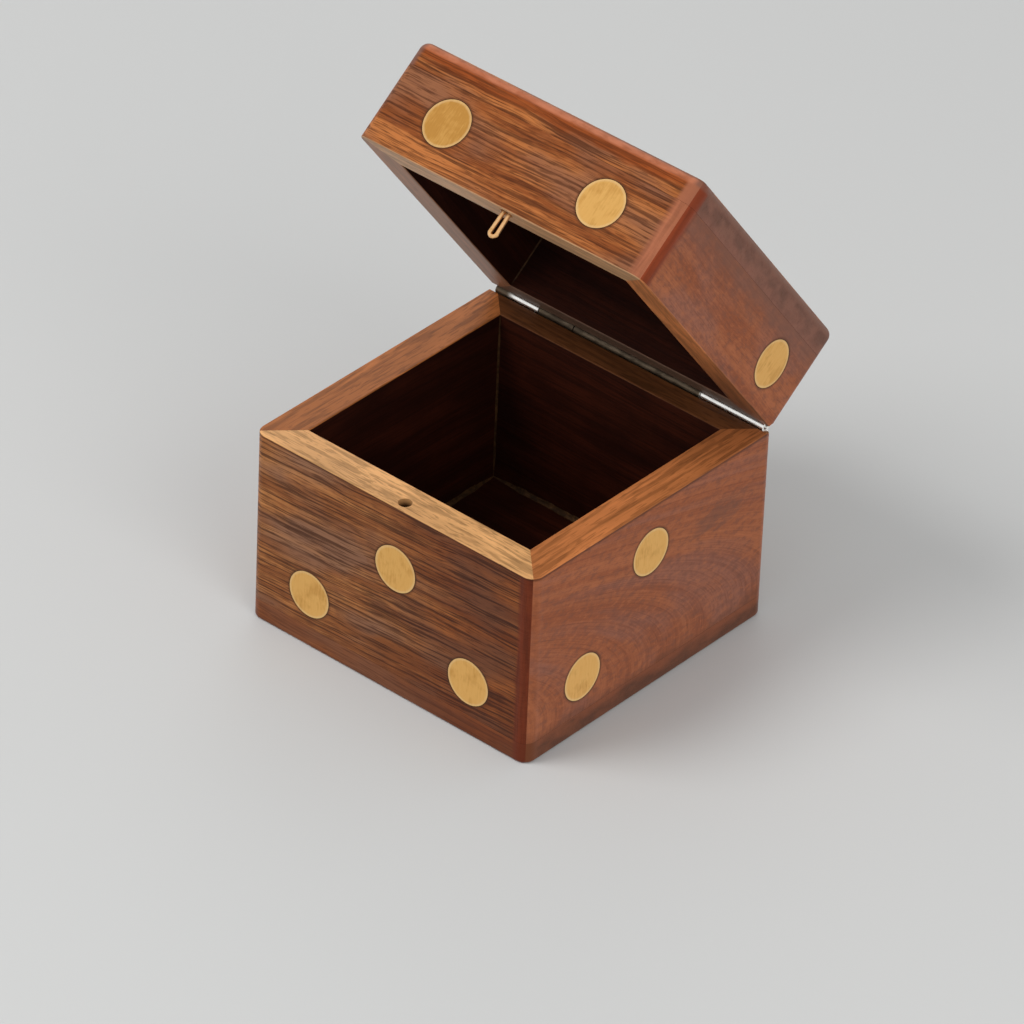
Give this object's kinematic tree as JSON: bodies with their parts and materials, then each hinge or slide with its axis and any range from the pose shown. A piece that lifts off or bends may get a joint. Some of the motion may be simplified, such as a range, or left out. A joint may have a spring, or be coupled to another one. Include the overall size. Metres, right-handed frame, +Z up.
{
  "type": "hinged box",
  "caption": "Wooden box shaped as a die, with mitred walls, a lid that tips back on a strip hinge, a wire catch under the lid's front rim and inlaid brass pips.",
  "frame": {"origin": "centre of the base's under face, which stands on the surface", "axes": "+X to the box's right seen from the front, +Y from the front to the hinge, +Z up"},
  "size_m": [0.076, 0.0929, 0.119],
  "materials": {
    "wood": "oiled, streaky brown grain",
    "brass": "polished",
    "hinge_metal": "nickel plated"
  },
  "bodies": {
    "body": {"body_front_wall": "wood", "body_right_wall": "wood", "body_back_wall": "wood", "body_left_wall": "wood", "body_front_pips": "brass", "body_right_pips": "brass", "body_back_pips": "brass", "body_left_pips": "brass", "bottom_panel": "wood", "hinge_body_leaf": "hinge_metal", "hinge_body_nails": "hinge_metal", "hinge_pin": "hinge_metal"},
    "lid": {"lid_front_wall": "wood", "lid_right_wall": "wood", "lid_back_wall": "wood", "lid_left_wall": "wood", "lid_front_pips": "brass", "lid_right_pips": "brass", "lid_back_pips": "brass", "lid_left_pips": "brass", "lid_top_panel": "wood", "lid_top_pips": "brass", "hinge_lid_leaf": "hinge_metal", "hinge_lid_nails": "hinge_metal", "catch_spring": "brass"}
  },
  "joints": [
    {"name": "lid_hinge", "type": "hinge", "parent": "body", "child": "lid", "pos_m": [0, 0.0364, 0.04645], "axis": [-1, 0, 0], "range_deg": [-52.5, 42.5]}
  ]
}
